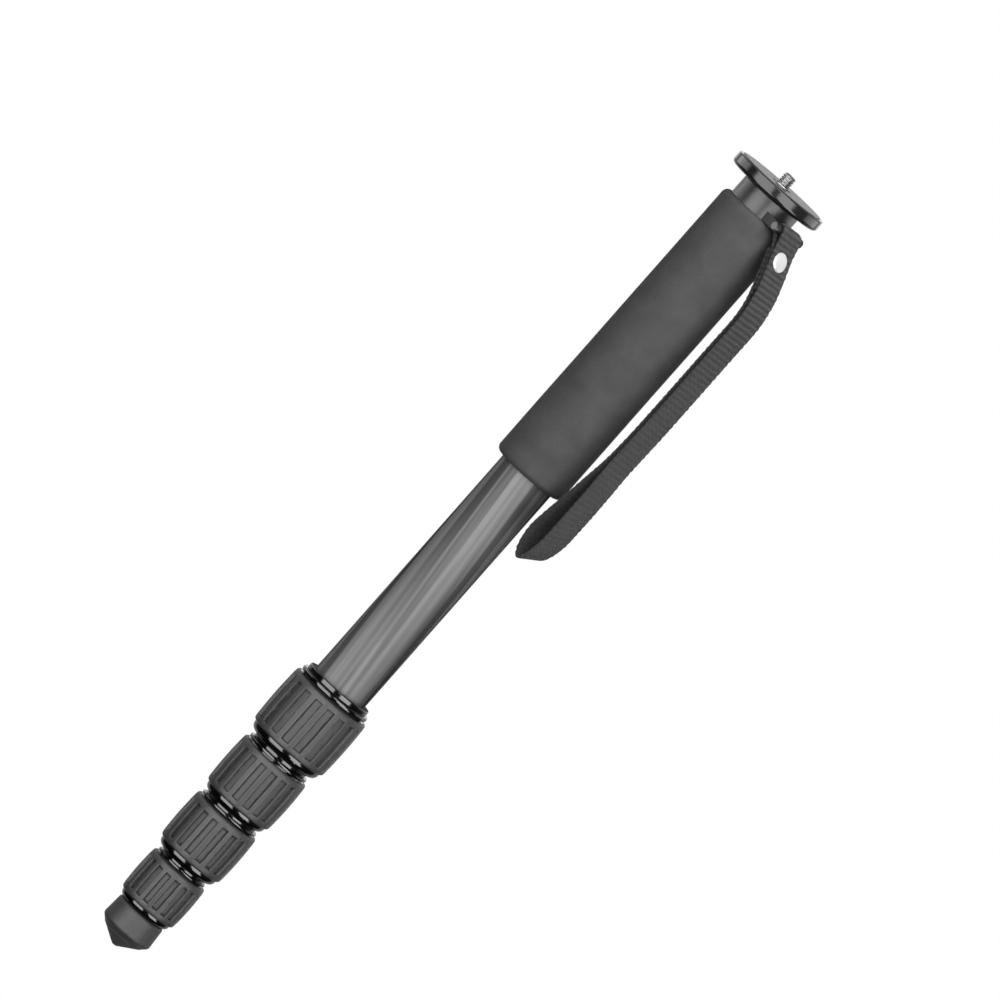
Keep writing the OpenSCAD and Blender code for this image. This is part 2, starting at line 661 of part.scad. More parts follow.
platform_disc();
platform_pad();
camera_stud();
stud_grub_screw();
platform_washer();
retaining_ring();
top_collar();
foam_grip();
strap_lug();
lug_pin();
lug_screws();
wrist_strap();
rivet_cap();
rivet_back();
tube(1);  // tube_1
tube(2);  // tube_2
tube(3);  // tube_3
tube(4);  // tube_4
tube(5);  // tube_5
guide_shims(2);  // guide_shims_2
guide_shims(3);  // guide_shims_3
guide_shims(4);  // guide_shims_4
guide_shims(5);  // guide_shims_5
lock_sleeve(1);  // lock_sleeve_1
lock_sleeve(2);  // lock_sleeve_2
lock_sleeve(3);  // lock_sleeve_3
lock_sleeve(4);  // lock_sleeve_4
lock_collet(1);  // lock_collet_1
lock_collet(2);  // lock_collet_2
lock_collet(3);  // lock_collet_3
lock_collet(4);  // lock_collet_4
lock_nut(1);  // lock_nut_1
lock_nut(2);  // lock_nut_2
lock_nut(3);  // lock_nut_3
lock_nut(4);  // lock_nut_4
lock_grip(1);  // lock_grip_1
lock_grip(2);  // lock_grip_2
lock_grip(3);  // lock_grip_3
lock_grip(4);  // lock_grip_4
dust_seal(1);  // dust_seal_1
dust_seal(2);  // dust_seal_2
dust_seal(3);  // dust_seal_3
dust_seal(4);  // dust_seal_4
foot_plug();
rubber_foot();
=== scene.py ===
import json
import math

import bmesh
import bpy
from mathutils import Matrix, Vector


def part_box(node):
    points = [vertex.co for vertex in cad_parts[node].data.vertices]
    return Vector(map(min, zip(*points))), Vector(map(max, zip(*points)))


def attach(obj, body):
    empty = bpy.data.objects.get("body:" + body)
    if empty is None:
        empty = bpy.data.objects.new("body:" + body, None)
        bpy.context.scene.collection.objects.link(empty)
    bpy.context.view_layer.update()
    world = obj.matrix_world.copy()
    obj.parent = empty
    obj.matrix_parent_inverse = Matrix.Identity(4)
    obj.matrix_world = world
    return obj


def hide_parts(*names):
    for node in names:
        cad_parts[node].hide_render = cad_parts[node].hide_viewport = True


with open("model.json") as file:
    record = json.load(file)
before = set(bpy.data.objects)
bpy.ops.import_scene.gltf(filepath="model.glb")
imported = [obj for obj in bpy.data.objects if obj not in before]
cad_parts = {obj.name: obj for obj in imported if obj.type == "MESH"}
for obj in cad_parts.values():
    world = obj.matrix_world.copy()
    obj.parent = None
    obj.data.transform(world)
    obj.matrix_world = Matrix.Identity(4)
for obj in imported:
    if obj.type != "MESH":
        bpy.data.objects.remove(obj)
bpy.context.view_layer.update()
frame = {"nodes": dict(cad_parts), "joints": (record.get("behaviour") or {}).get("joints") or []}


# The studio: a long lens stands low in front of the pole, rolled so that the folded pole runs from
# the lower left to the upper right. It sees everything as it is, without a film's tones.


def toward(turn, tilt):
    """The direction that lies this far round the pole and this far up, in radians."""
    return Vector((math.cos(turn) * math.cos(tilt), math.sin(turn) * math.cos(tilt),
                   math.sin(tilt)))


scene = bpy.context.scene
scene.view_settings.view_transform = "Standard"
lens_turn = math.radians(-50)
lens_rise = math.radians(5.5)
lens_roll = math.radians(41.4)
lens_length = 488.7
lens_distance = 6.0
aim_height = 0.2625
aim_shift = 0.0018
back = toward(lens_turn, lens_rise)
across = Vector((-math.sin(lens_turn), math.cos(lens_turn), 0))
up = back.cross(across)
right = math.cos(lens_roll) * across + math.sin(lens_roll) * up
rise = math.cos(lens_roll) * up - math.sin(lens_roll) * across
camera = bpy.data.objects.new("camera", bpy.data.cameras.new("camera"))
camera.data.sensor_width = 36
camera.data.lens = lens_length
camera.data.clip_end = 100
camera.matrix_world = Matrix((right, rise, back)).transposed().to_4x4()
camera.location = Vector((0, 0, aim_height)) - aim_shift * across + back * lens_distance
scene.collection.objects.link(camera)
scene.camera = camera

# A wide soft lamp stands on the left, a narrower one on the right, and pale cards lie low around.
# Each has its turn from the lens, tilt and lean in degrees, its distance, width and height, and
# its strength on rough surfaces and in reflections.
lamps = {
    "left_lamp": (-32.5, 0, 10, 1.2, 1.07, 2.0, 0.2, 9),
    "right_lamp": (31, 0, 35, 1.2, 0.7, 2.4, 0.55, 10),
    "upper_lamp": (20, 45, 0, 1.3, 0.8, 0.8, 6.4, 0),
    "left_card": (-108, 4, 0, 1.5, 1.3, 0.4, 0, 3.2),
    "right_card": (112, 4, 0, 1.5, 1.3, 0.4, 0, 2.4),
    "back_lamp": (168, 30, 0, 1.6, 1.2, 1.2, 2.2, 0),
    "back_card": (180, 13, 0, 1.5, 1.8, 0.6, 0, 0.7),
}
lamps_centre = Vector((0, 0, 0.25))
shine_in_front = 0.03
for name, (turn, tilt, lean, distance, width, height, light, shine) in lamps.items():
    outward = toward(math.radians(turn) + lens_turn, math.radians(tilt))
    leaning = Matrix.Rotation(math.radians(lean), 3, "Z")
    facing = outward.to_track_quat("Z", "Y").to_matrix() @ leaning
    for use, glow, away in (("light", light, distance),
                            ("shine", shine, distance - shine_in_front)):
        if not glow:
            continue
        lamp = bpy.data.objects.new(f"{name}_{use}", bpy.data.lights.new(f"{name}_{use}", "AREA"))
        lamp.data.shape = "RECTANGLE"
        lamp.data.size, lamp.data.size_y = width, height
        lamp.data.energy = glow * math.pi * width * height
        lamp.location = lamps_centre + away * outward
        lamp.rotation_euler = facing.to_euler()
        lamp.visible_camera = False
        lamp.visible_diffuse = use == "light"
        lamp.visible_glossy = use == "shine"
        scene.collection.objects.link(lamp)


# The curtain is dark cloth all round the pole, which only reflections see. Beside the platform it
# is drawn back, so that its edges show pale there, and it closes under and over the pole.


def make(name, mesh):
    """An object at the origin, made from a finished mesh."""
    made = bpy.data.objects.new(name, bpy.data.meshes.new(name))
    mesh.to_mesh(made.data)
    mesh.free()
    scene.collection.objects.link(made)
    return made


def plain(name, **fixed):
    """A material whose shader has the same values everywhere."""
    material = bpy.data.materials.new(name)
    material.use_nodes = True
    for words, value in fixed.items():
        socket = material.node_tree.nodes["Principled BSDF"].inputs[words.replace("_", " ")]
        socket.default_value = value
    return material


curtain_radius, curtain_height, curtain_hole = 1.6, 1.7, 0.02
half_way = curtain_radius - curtain_hole + curtain_height
first_edge, last_edge = -130, 126
first_drawn, last_drawn = 48, -33
drawing_height = 0.3
curtain_mesh = bmesh.new()
bmesh.ops.create_grid(curtain_mesh, x_segments=60, y_segments=80, size=0.5)
for vertex in curtain_mesh.verts:
    way = 2 * half_way * (vertex.co.y + 0.5)
    radius = min(curtain_hole + way, curtain_radius, curtain_hole + 2 * half_way - way)
    z = min(max(way - half_way, -curtain_height), curtain_height)
    drawn = min(max(z / drawing_height, 0), 1)
    first, last = first_edge + first_drawn * drawn, last_edge + last_drawn * drawn
    turn = lens_turn + math.radians(first + (last - first) * (vertex.co.x + 0.5))
    vertex.co = (radius * math.cos(turn), radius * math.sin(turn), z)
curtain = make("curtain", curtain_mesh)
curtain.data.materials.append(plain("curtain", Base_Color=(0.02, 0.02, 0.02, 1)))
curtain.visible_camera = curtain.visible_diffuse = curtain.visible_shadow = False


# The floor is pale paper that lies as low as the foot reaches with all the sections drawn out.
# The lens sees it and the air around it white, while they light the pole only a little.


class Field:
    """One socket of a shader's nodes, which can be reckoned with like a number."""

    def __init__(self, tree, socket=None):
        self.tree, self.socket = tree, socket

    def node(self, kind, settings=None, sockets=None, out=0):
        """One output of a new node, with its settings and the values or links of its sockets."""
        made = self.tree.nodes.new(kind)
        for name, value in (settings or {}).items():
            setattr(made, name, value)
        for name, value in (sockets or {}).items():
            if isinstance(value, Field):
                self.tree.links.new(value.socket, made.inputs[name])
            else:
                made.inputs[name].default_value = value
        return Field(self.tree, made.outputs[out])

    def maths(self, operation, *values):
        """The result of one sum on these values or fields."""
        return self.node("ShaderNodeMath", {"operation": operation}, dict(enumerate(values)))

    def __add__(self, other):
        return self.maths("ADD", self, other)

    def __sub__(self, other):
        return self.maths("SUBTRACT", self, other)

    def __rsub__(self, other):
        return self.maths("SUBTRACT", other, self)

    def __mul__(self, other):
        return self.maths("MULTIPLY", self, other)

    def __pow__(self, other):
        return self.maths("POWER", self, other)

    __radd__, __rmul__ = __add__, __mul__

    def sin(self):
        return self.maths("SINE", self)

    def cos(self):
        return self.maths("COSINE", self)

    def fade(self, low, high, to_low=0.0, to_high=1.0):
        """This value, brought smoothly from low...high to to_low...to_high."""
        return self.node("ShaderNodeMapRange", {"interpolation_type": "SMOOTHSTEP"},
                         {"Value": self, "From Min": low, "From Max": high,
                          "To Min": to_low, "To Max": to_high})


drawn_out = sum(joint["range_m"][1] for joint in frame["joints"]
                if joint["name"].startswith("section"))
floor_radius, under_foot = 3.5, 0.0002
floor_mesh = bmesh.new()
bmesh.ops.create_circle(floor_mesh, cap_ends=True, segments=64, radius=floor_radius)
bmesh.ops.translate(floor_mesh, verts=floor_mesh.verts, vec=(0, 0, -drawn_out - under_foot))
floor = make("floor", floor_mesh)
paper = plain("paper", Base_Color=(0.45, 0.45, 0.45, 1), Specular_IOR_Level=0.0,
              Emission_Color=(1, 1, 1, 1))
floor.data.materials.append(paper)
floor.visible_glossy = False

world = bpy.data.worlds.new("studio")
world.use_nodes = True
scene.world = world
air = world.node_tree.nodes["Background"]
air.inputs["Color"].default_value = (1, 1, 1, 1)
for tree, strength, dim, bright, mirrored in (
        (world.node_tree, air.inputs["Strength"], 0.15, 1.0, 0.6),
        (paper.node_tree, paper.node_tree.nodes["Principled BSDF"].inputs["Emission Strength"],
         0.0, 0.95, 0.95)):
    level = dim
    for ray, glow in (("Is Camera Ray", bright), ("Is Transmission Ray", bright),
                      ("Is Glossy Ray", mirrored)):
        seen = Field(tree).node("ShaderNodeLightPath", out=ray) * glow
        level = seen.maths("MAXIMUM", seen, level)
    tree.links.new(level.socket, strength)


# The foot: one piece of moulded rubber with a blunt cone, pushed over the smallest tube's end and
# held by the wide head of a metal plug that is glued into that tube.


class Finish:
    """A material under construction: its shader, and where a point lies on the piece."""

    def __init__(self, name, **fixed):
        self.material = plain(name, **fixed)
        tree = self.material.node_tree
        self.shader = tree.nodes["Principled BSDF"]
        self.point = Field(tree).node("ShaderNodeTexCoord", out="Object")
        self.x, self.y, self.z = (
            self.point.node("ShaderNodeSeparateXYZ", None, {"Vector": self.point}, out)
            for out in range(3))
        self.radius = (self.x * self.x + self.y * self.y) ** 0.5
        self.turn = self.x.maths("ARCTAN2", self.y, self.x)

    def grain(self, scale, detail=2.0, stretch=(1, 1, 1), point=None):
        """Smooth random values between about 0.3 and 0.7, this many patches a metre."""
        point = point or self.point
        spread = point.node("ShaderNodeMapping", None, {"Vector": point, "Scale": stretch})
        return point.node("ShaderNodeTexNoise", None,
                          {"Vector": spread, "Scale": scale, "Detail": detail}, "Fac")

    def at(self, x, y, z):
        """A place on the pattern, from three values."""
        return self.x.node("ShaderNodeCombineXYZ", None, {"X": x, "Y": y, "Z": z})

    def feed(self, colour, rough, relief, depth):
        """Gives the shader a grey, a roughness and a relief of this depth in metres."""
        grey = colour.node("ShaderNodeCombineColor", None,
                           {"Red": colour, "Green": colour, "Blue": colour})
        bump = relief.node("ShaderNodeBump", None,
                           {"Height": relief, "Distance": depth, "Strength": 1.0})
        for socket, field in (("Base Color", grey), ("Roughness", rough), ("Normal", bump)):
            self.material.node_tree.links.new(field.socket, self.shader.inputs[socket])
        return self.material


def dress(node, material):
    """Gives a CAD node its finish."""
    for place in frame["nodes"][node].material_slots:
        place.material = material


foot_rubber = Finish("foot_rubber", Specular_IOR_Level=0.2)
scuffs = foot_rubber.grain(900, 4)
# The cone below the crease is painted darker: painted shade, as it faces down away from the lamps.
cone_low, cone_high = 0.0061, 0.0066
cone = foot_rubber.z.fade(cone_low, cone_high, 1.0, 0.0)
dress("rubber_foot", foot_rubber.feed(
    colour=0.04 + 0.018 * scuffs - 0.02 * cone, rough=0.4 + 0.2 * scuffs + 0.1 * cone,
    relief=foot_rubber.grain(6000, 3) + 0.6 * scuffs, depth=0.00006))

plug_metal = Finish("plug_metal", Metallic=1.0)
lathe_lines = (plug_metal.z * 30000).sin()
dress("foot_plug", plug_metal.feed(
    colour=0.5 + 0.04 * plug_metal.grain(300), rough=0.32 + 0.04 * lathe_lines,
    relief=lathe_lines, depth=0.00001))

# The tubes: five sizes of pultruded carbon fibre under clear lacquer. Their colour runs in long
# slanting bands almost along the pole, partly the fibres' own tone and partly painted reflection,
# with narrow painted dark reflection bands stronger higher up. Split nylon shims near the upper
# ends guide each tube in the next.
carbon = Finish("carbon", Metallic=0.8, Specular_IOR_Level=0.0, Specular_Tint=(0.2, 0.2, 0.2, 1))
wrap_slope, wrap_start = 6.6, 0.245
lean = carbon.turn + carbon.z * wrap_slope + wrap_start
band_place = carbon.at(lean.cos() * 0.014, lean.sin() * 0.014, carbon.z * 0.02)
# The broad slanting bands are partly the fibres' own tone and partly painted reflection.
wide_bands = carbon.grain(150, 1, point=band_place).fade(0.36, 0.5)
bands = carbon.grain(420, 1, point=band_place).fade(0.42, 0.5)
fibres = carbon.grain(4200, 2, point=band_place)
fibre_tone_and_reflection_bands = 0.6 * wide_bands + 0.15 * bands + 0.1 * fibres + 0.08
# Narrow dark bands at fixed turns round the tube, stronger higher up: painted dark reflection.
painted_dark_bands = carbon.z.fade(0.16, 0.27, 0.35, 1.0) * (2 * lean + 0.885).sin().fade(0.9, 0.975)
for dark_band_turn in (-1.835, 2.456):
    painted_dark_bands = painted_dark_bands + 0.85 * (2 * lean + dark_band_turn).sin().fade(0.94, 0.985)
carbon_skin = carbon.feed(colour=(0.042 + 0.064 * fibre_tone_and_reflection_bands) * (1 - 0.62 * painted_dark_bands),
                          rough=0.7 - 0.04 * bands, relief=fibres + 0.5 * bands, depth=0.00001)
for size in range(1, 6):
    dress(f"tube_{size}", carbon_skin)

nylon = Finish("nylon", Specular_IOR_Level=0.25, Subsurface_Weight=0.05)
nylon_skin = nylon.feed(
    colour=0.5 + 0.1 * nylon.grain(200), rough=0.45 + 0.2 * nylon.grain(2500, 3),
    relief=nylon.grain(3000, 2), depth=0.00003)
for size in range(2, 6):
    dress(f"guide_shims_{size}", nylon_skin)

# The twist locks: on each larger tube a black metal sleeve with two bead rings, and screwed on it
# a polished nut that squeezes a split collet on the smaller tube.
rings_proud = 0.0016
for number in range(1, 5):
    gloss_black = Finish(f"gloss_black_{number}", Specular_IOR_Level=0.41)
    hairline = gloss_black.grain(2500, 2, (1, 1, 12))
    rings_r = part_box(f"lock_sleeve_{number}")[1].x - rings_proud
    outside = gloss_black.radius.fade(rings_r - 0.0004, rings_r - 0.0002)
    black_metal = gloss_black.feed(
        colour=0.002 + 0.002 * hairline, rough=0.9 - outside * (0.81 - 0.04 * hairline),
        relief=hairline, depth=0.000003)
    dress(f"lock_sleeve_{number}", black_metal)
    dress(f"lock_nut_{number}", black_metal)
    dress(f"lock_collet_{number}", nylon_skin)


# The locks' grips: soft rubber, moulded round each nut down to its lip. Its 18 finger pockets are
# sunk into a slightly crowned side. A ring of the same rubber keeps dust out of each lock.


def rounded(radius, z, size, steps, at_top=False):
    """An outline's rounded corner, which rises from its lower end or to its upper end."""
    corner = []
    for angle in (math.pi / 2 * k / steps for k in range(steps + 1)):
        inward, along = size * (1 - math.sin(angle)), size * (1 - math.cos(angle))
        corner.append((radius - along, z - inward) if at_top else (radius - inward, z + along))
    return corner


def spun(outline, steps, start=0.0, closed=False):
    """A round shell about the pole's axis, from an outline of radii and heights."""
    shell = bmesh.new()
    points = [shell.verts.new((r * math.cos(start), r * math.sin(start), z)) for r, z in outline]
    ends = points[1:] + points[:1] if closed else points[1:]
    edges = [shell.edges.new(pair) for pair in zip(points, ends)]
    bmesh.ops.spin(shell, geom=points + edges, cent=(0, 0, 0), axis=(0, 0, 1), angle=math.tau,
                   steps=steps, use_merge=True)
    bmesh.ops.remove_doubles(shell, verts=shell.verts, dist=1e-6)
    bmesh.ops.recalc_face_normals(shell, faces=shell.faces)
    return shell


def rim(faces):
    """The corners that these faces share with others."""
    own = set(faces)
    return {vertex for face in faces for vertex in face.verts
            if any(other not in own for other in vertex.link_faces)}


def bevelled(piece, width, angle, segments=2):
    """Rounds the piece's edges that are sharper than this angle in degrees."""
    rounding = piece.modifiers.new("rounding", "BEVEL")
    rounding.width, rounding.segments, rounding.limit_method = width, segments, "ANGLE"
    rounding.angle_limit = math.radians(angle)


soft_rubber = Finish("soft_rubber", Specular_IOR_Level=0.2)
moulding = soft_rubber.grain(700, 4)
pocket_shade_and_highlight = soft_rubber.point.node("ShaderNodeAttribute", {"attribute_name": "pocket_shade_and_highlight"}, out="Fac")
# The grips' colour carries painted light: the pockets' walls and corners are painted darker and
# their floors a little darker as painted shade, and their rims lighter as a painted highlight.
lock_rubber = soft_rubber.feed(
    colour=(0.04 + 0.02 * moulding) * (1 - 0.85 * pocket_shade_and_highlight), rough=0.36 + 0.16 * moulding,
    relief=soft_rubber.grain(7000, 3) + 0.8 * moulding, depth=0.00005)
pocket_count, pocket_columns = 18, 10
pocket_turn, pocket_deg = math.radians(2), 12.2
pocket_margin, pocket_depth, pocket_wall, pocket_fillet = 0.0030, 0.0012, 0.00025, 0.0005
grip_corner, grip_crown, grip_rows = 0.0012, 0.0005, 26
over_nut, grip_edge = 0.0003, 0.0006
rim_highlight, wall_shade, floor_shade = -0.65, 1.0, 0.12
for number in range(1, 5):
    dress(f"dust_seal_{number}", lock_rubber)
    low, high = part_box(f"lock_grip_{number}")
    middle, half = (low.z + high.z) / 2, (high.z - low.z) / 2
    belly, inside = high.x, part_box(f"lock_nut_{number}")[1].x - over_nut
    pocket_low, pocket_high = low.z + pocket_margin, high.z - pocket_margin
    outline = rounded(belly - grip_crown, low.z, grip_corner, 6)
    for row in range(grip_rows + 1):
        z = pocket_low + (pocket_high - pocket_low) * row / grip_rows
        outline.append((belly - grip_crown * ((z - middle) / half) ** 2, z))
    outline += rounded(belly - grip_crown, high.z, grip_corner, 6, at_top=True)
    outline += [(inside, high.z), (inside, high.z - grip_edge)]
    start = pocket_turn - math.radians(pocket_deg / 2)
    shell = spun(outline, pocket_count * pocket_columns, start)
    painted_light_layer = shell.verts.layers.float.new("pocket_shade_and_highlight")
    pockets = []
    for face in shell.faces:
        centre = face.calc_center_median()
        past = (math.degrees(math.atan2(centre.y, centre.x) - start) + 0.01) % (360 / pocket_count)
        if past < pocket_deg and pocket_low < centre.z < pocket_high:
            pockets.append(face)
    # Painted highlight on the pocket rims, then painted shade on the walls, corners and floors.
    for vertex in rim(pockets):
        vertex[painted_light_layer] = rim_highlight
    bmesh.ops.inset_region(shell, faces=pockets, thickness=pocket_wall, depth=-pocket_depth,
                           use_even_offset=True)
    for vertex in rim(pockets):
        vertex[painted_light_layer] = wall_shade
    bmesh.ops.inset_region(shell, faces=pockets, thickness=pocket_fillet, depth=0,
                           use_even_offset=True)
    for vertex in {vertex for face in pockets for vertex in face.verts}:
        vertex[painted_light_layer] = floor_shade
    grip = make(f"grip_{number}", shell)
    grip.data.shade_smooth()
    grip.data.materials.append(lock_rubber)
    bevelled(grip, 0.00025, 28)
    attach(grip, f"lock_{number}")
    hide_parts(f"lock_grip_{number}")

# The hand grip: a tube of soft closed-cell foam, stretched over the largest carbon tube. Its ends
# are rounded over, and it is a little uneven from handling.
low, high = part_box("foam_grip")
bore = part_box("tube_1")[1].x + 0.00005
foam_corner, foam_rows, foam_dent = 0.0030, 60, 0.0022
straight = high.z - low.z - 2 * foam_corner
outline = [(bore, low.z), *rounded(high.x, low.z, foam_corner, 8)]
outline += [(high.x, low.z + foam_corner + straight * k / foam_rows) for k in range(1, foam_rows)]
outline += [*rounded(high.x, high.z, foam_corner, 8, at_top=True), (bore, high.z)]
foam_shell = spun(outline, 128, closed=True)
for vertex in foam_shell.verts:
    if vertex.co.xy.length > high.x - 0.0005:
        turn = math.atan2(vertex.co.y, vertex.co.x)
        dent = math.sin(3 * turn + 40 * vertex.co.z) + math.sin(2 * turn - 95 * vertex.co.z + 1)
        vertex.co.xy *= 1 - foam_dent * (1 + dent / 2)
foam = make("foam_sleeve", foam_shell)
foam.data.shade_smooth()
foam_skin = Finish("foam", Specular_IOR_Level=0.1)
cells = foam_skin.point.node("ShaderNodeTexVoronoi", None,
                             {"Vector": foam_skin.point, "Scale": 2200.0}, "Distance")
clouds = foam_skin.grain(90, 5)
foam.data.materials.append(foam_skin.feed(
    colour=0.055 + 0.075 * clouds + 0.02 * cells, rough=0.85 + 0.1 * cells,
    relief=cells + 1.6 * foam_skin.grain(1100, 5), depth=0.00014))
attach(foam, "pole")
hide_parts("foam_grip")

# The head: a turned collar glued into the tube, with a cast lug screwed to its side for the
# strap's pin. The parts that hold the platform's spindle are out of sight.
gunmetal = Finish("gunmetal", Specular_IOR_Level=0.27)
brushing = gunmetal.grain(1800, 3, (1, 1, 14))
dress("top_collar", gunmetal.feed(
    colour=0.03 + 0.012 * brushing, rough=0.26 + 0.1 * brushing, relief=brushing, depth=0.00001))

black_paint = Finish("black_paint", Specular_IOR_Level=0.25)
orange_peel = black_paint.grain(1500, 3)
dress("strap_lug", black_paint.feed(
    colour=0.018 + 0.012 * orange_peel, rough=0.32 + 0.16 * orange_peel, relief=orange_peel,
    depth=0.00004))

dark_steel = Finish("dark_steel", Metallic=1.0)
oil = dark_steel.grain(1200, 3)
screw_skin = dark_steel.feed(colour=0.09 + 0.06 * oil, rough=0.34 + 0.15 * oil, relief=oil,
                             depth=0.00001)
for name in ("lug_pin", "lug_screws", "retaining_ring", "stud_grub_screw"):
    dress(name, screw_skin)

acetal = Finish("acetal", Specular_IOR_Level=0.25)
dress("platform_washer", acetal.feed(
    colour=0.02 + 0.02 * acetal.grain(900), rough=0.42 + 0.1 * acetal.grain(2500),
    relief=acetal.grain(4000), depth=0.00001))

# The platform: a turned and polished disc of black anodised metal, with a ribbed rubber pad let
# into its top.
anodised = Finish("anodised", Specular_IOR_Level=0.26)
tooled = anodised.grain(2500, 2, (1, 1, 12))
dress("platform_disc", anodised.feed(
    colour=0.014 + 0.01 * tooled, rough=0.13 + 0.06 * tooled, relief=tooled, depth=0.000004))
pad_rubber = Finish("pad_rubber", Specular_IOR_Level=0.1)
ridge_pitch = 0.0012
ridges = (pad_rubber.radius * (math.tau / ridge_pitch)).sin()
dress("platform_pad", pad_rubber.feed(
    colour=0.08 + 0.02 * pad_rubber.grain(500, 3) + 0.008 * ridges,
    rough=0.3 + 0.1 * pad_rubber.grain(900, 3),
    relief=ridges + 0.5 * pad_rubber.grain(3000, 2), depth=0.000015))

# The camera's screw: bright steel, with a standard thread of 1.27 mm pitch above a low shoulder
# and a rounded tip. A grub screw holds its shank in the platform.
bright_steel = Finish("bright_steel", Metallic=1.0)
cutting = bright_steel.grain(5000, 2, (1, 1, 3))
stud_skin = bright_steel.feed(colour=0.18 + 0.05 * cutting, rough=0.36 + 0.1 * cutting,
                              relief=cutting, depth=0.000006)
low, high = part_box("camera_stud")
pitch, crest, root = 0.00127, 0.003175, 0.00265
shank_r, shoulder_r, shoulder_h = 0.004, 0.0048, 0.001
shoulder_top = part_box("platform_pad")[1].z + 0.0004
thread_low, thread_high = shoulder_top - 0.0003, high.z - 0.0007
thread_turns, turn_steps = 7, 48
stud = bmesh.new()
tooth = [(root, 0), (root, 0.12), (crest, 0.42), (crest, 0.58), (root, 0.88), (root, 1)]
points = [stud.verts.new((r, 0, shoulder_top - 2 * pitch + share * pitch)) for r, share in tooth]
edges = [stud.edges.new(pair) for pair in zip(points, points[1:])]
bmesh.ops.spin(stud, geom=points + edges, cent=(0, 0, 0), axis=(0, 0, 1),
               dvec=(0, 0, pitch / turn_steps), angle=math.tau * thread_turns,
               steps=turn_steps * thread_turns)
bmesh.ops.remove_doubles(stud, verts=stud.verts, dist=1e-6)
for cut_z, side in ((thread_high, 1), (thread_low, -1)):
    cut = bmesh.ops.bisect_plane(stud, geom=stud.verts[:] + stud.edges[:] + stud.faces[:],
                                 plane_co=(0, 0, cut_z), plane_no=(0, 0, side), clear_outer=True)
    ring = [edge for edge in cut["geom_cut"] if isinstance(edge, bmesh.types.BMEdge)]
    cap = bmesh.ops.edgeloop_fill(stud, edges=ring)["faces"]
    cap[0].normal_update()
    if cap[0].normal.z * side < 0:
        bmesh.ops.reverse_faces(stud, faces=cap)
    if side == 1:
        for inset, lift in ((0.0003, 0.0003), (0.0005, 0.0002), (0.0008, 0.0001)):
            bmesh.ops.inset_region(stud, faces=cap, thickness=inset, depth=lift)
for radius, bottom, top in ((shank_r, low.z, shoulder_top - shoulder_h),
                            (shoulder_r, shoulder_top - shoulder_h, shoulder_top)):
    bmesh.ops.create_cone(stud, cap_ends=True, segments=96, radius1=radius, radius2=radius,
                          depth=top - bottom,
                          matrix=Matrix.Translation((0, 0, (top + bottom) / 2)))
bmesh.ops.recalc_face_normals(stud, faces=stud.faces)
screw = make("camera_screw", stud)
screw.data.materials.append(stud_skin)
bevelled(screw, 0.00008, 35)
screw.data.shade_smooth()
screw.modifiers.new("square", "WEIGHTED_NORMAL")
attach(screw, "platform")
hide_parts("camera_stud")

# The strap: one length of ribbed nylon webbing. It passes over the lug's pin, its tail is tucked
# between the strands and a rivet goes through all three, and the loop hangs down beside the grip.
web_width, web_thick, layer = 0.015, 0.0014, 0.00155
pin_r, pin_gap = 0.0016, 0.0003
pin_low, pin_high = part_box("lug_pin")
pin = Vector(((pin_low.x + pin_high.x) / 2, 0, (pin_low.z + pin_high.z) / 2))
# Places out from the pin and up from it in millimetres, the layers that lie on each side of the
# middle there, and half the gap between the strands.
lay = [(3.9, -8, 1, 0), (5.8, -12.1, 1, 0), (7.6, -15.8, 1, 0), (9.9, -20.8, 1, 0),
       (12.2, -26.2, 1, 0), (13.9, -31.4, 0.5, 0.5), (15.2, -37.4, 0.5, 0.4),
       (15.7, -44.5, 0.5, 0.3), (15.6, -60, 0.5, 0.3), (15.6, -85, 0.5, 0.3),
       (15.5, -102, 0.5, 0.3), (15.2, -114, 0.5, 0.3), (14.6, -126, 0.5, 0.6),
       (13.8, -138, 0.5, 1.8), (12.8, -150, 0.5, 3), (11.7, -160, 0.5, 4),
       (11, -168, 0.5, 4.5), (10.9, -174, 0.5, 3.6), (11.1, -178.6, 0.5, 1.9)]
mid = [Vector((x / 1000, z / 1000)) for x, z, layers, apart in lay]
offsets = [layers * layer + apart / 1000 for x, z, layers, apart in lay]
courses = [(mid[min(k + 1, len(mid) - 1)] - mid[max(k - 1, 0)]).normalized()
           for k in range(len(mid))]
tail_end = 4


def strand(k, side):
    """A point on the outer (1) or inner (-1) strand beside lay point k."""
    return mid[k] + side * offsets[k] * Vector((-courses[k].y, courses[k].x))


eye = pin_r + pin_gap + web_thick / 2
wrap_from, wrap_by, wrap_steps = 215, 200, 9
over_pin = [Vector((eye * math.cos(angle), eye * math.sin(angle)))
            for angle in (math.radians(wrap_from - wrap_by * k / wrap_steps)
                          for k in range(wrap_steps + 1))]
under_pin, off_pin, loop_end = (Vector(place) for place in (
    (0.0014, -0.0048), (0.0038, -0.0028), (0.0114, -0.1816)))
run = (mid[tail_end::-1] + [under_pin] + over_pin + [off_pin]
       + [strand(k, 1) for k in range(len(lay))] + [loop_end]
       + [strand(k, -1) for k in range(len(lay) - 1, -1, -1)])
span_steps = 8
line = []
for k in range(len(run) - 1):
    a, b, c, d = run[max(k - 1, 0)], run[k], run[k + 1], run[min(k + 2, len(run) - 1)]
    for t in (j / span_steps for j in range(span_steps)):
        line.append(0.5 * (2 * b + (c - a) * t + (2 * a - 5 * b + 4 * c - d) * t * t
                           + (3 * b - a - 3 * c + d) * t ** 3))
line.append(run[-1])
travel = [0.0]
for a, b in zip(line, line[1:]):
    travel.append(travel[-1] + (b - a).length)


def ramp(value, start, span, low=0.0):
    """A share that rises from low to 1 while the value passes the span after start."""
    return min(max((value - start) / span, low), 1)


